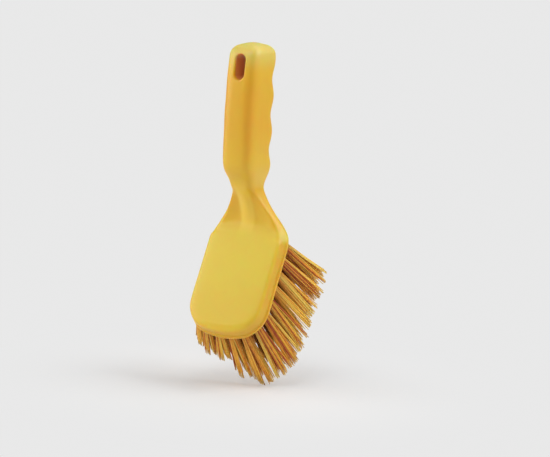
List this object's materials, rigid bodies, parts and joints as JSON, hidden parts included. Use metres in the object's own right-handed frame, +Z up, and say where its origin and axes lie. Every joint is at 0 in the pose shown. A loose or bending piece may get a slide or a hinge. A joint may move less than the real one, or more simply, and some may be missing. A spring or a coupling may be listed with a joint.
{
  "type": "short handle brush",
  "caption": "Hand scrubbing brush: a rounded plate head with fanned bristle tufts, a waisted neck, and an upright moulded grip with finger grooves and a hanging slot.",
  "frame": {"origin": "in the hanging slot, at the centre of the slot's upper round end, where a peg carries the brush", "axes": "+Z up along the grip, away from the head; -Y is the side of the head's back; bristles point to +Y and down; X runs across the brush"},
  "size_m": [0.1022, 0.0969, 0.2886],
  "materials": {
    "yellow_plastic": "satin moulded polypropylene",
    "amber_filament": "stiff slightly translucent filament"
  },
  "bodies": {
    "root": {"block_and_grip": "yellow_plastic", "tuft_01": "amber_filament", "tuft_02": "amber_filament", "tuft_03": "amber_filament", "tuft_04": "amber_filament", "tuft_05": "amber_filament", "tuft_06": "amber_filament", "tuft_07": "amber_filament", "tuft_08": "amber_filament", "tuft_09": "amber_filament", "tuft_10": "amber_filament", "tuft_11": "amber_filament", "tuft_12": "amber_filament", "tuft_13": "amber_filament", "tuft_14": "amber_filament", "tuft_15": "amber_filament", "tuft_16": "amber_filament", "tuft_17": "amber_filament", "tuft_18": "amber_filament", "tuft_19": "amber_filament", "tuft_20": "amber_filament", "tuft_21": "amber_filament", "tuft_22": "amber_filament", "tuft_23": "amber_filament", "tuft_24": "amber_filament", "tuft_25": "amber_filament", "tuft_26": "amber_filament", "tuft_27": "amber_filament", "tuft_28": "amber_filament", "tuft_29": "amber_filament", "tuft_30": "amber_filament", "tuft_31": "amber_filament", "tuft_32": "amber_filament", "tuft_33": "amber_filament", "tuft_34": "amber_filament", "tuft_35": "amber_filament", "tuft_36": "amber_filament", "tuft_37": "amber_filament", "tuft_38": "amber_filament", "tuft_39": "amber_filament", "tuft_40": "amber_filament", "tuft_41": "amber_filament", "tuft_42": "amber_filament"}
  },
  "joints": []
}
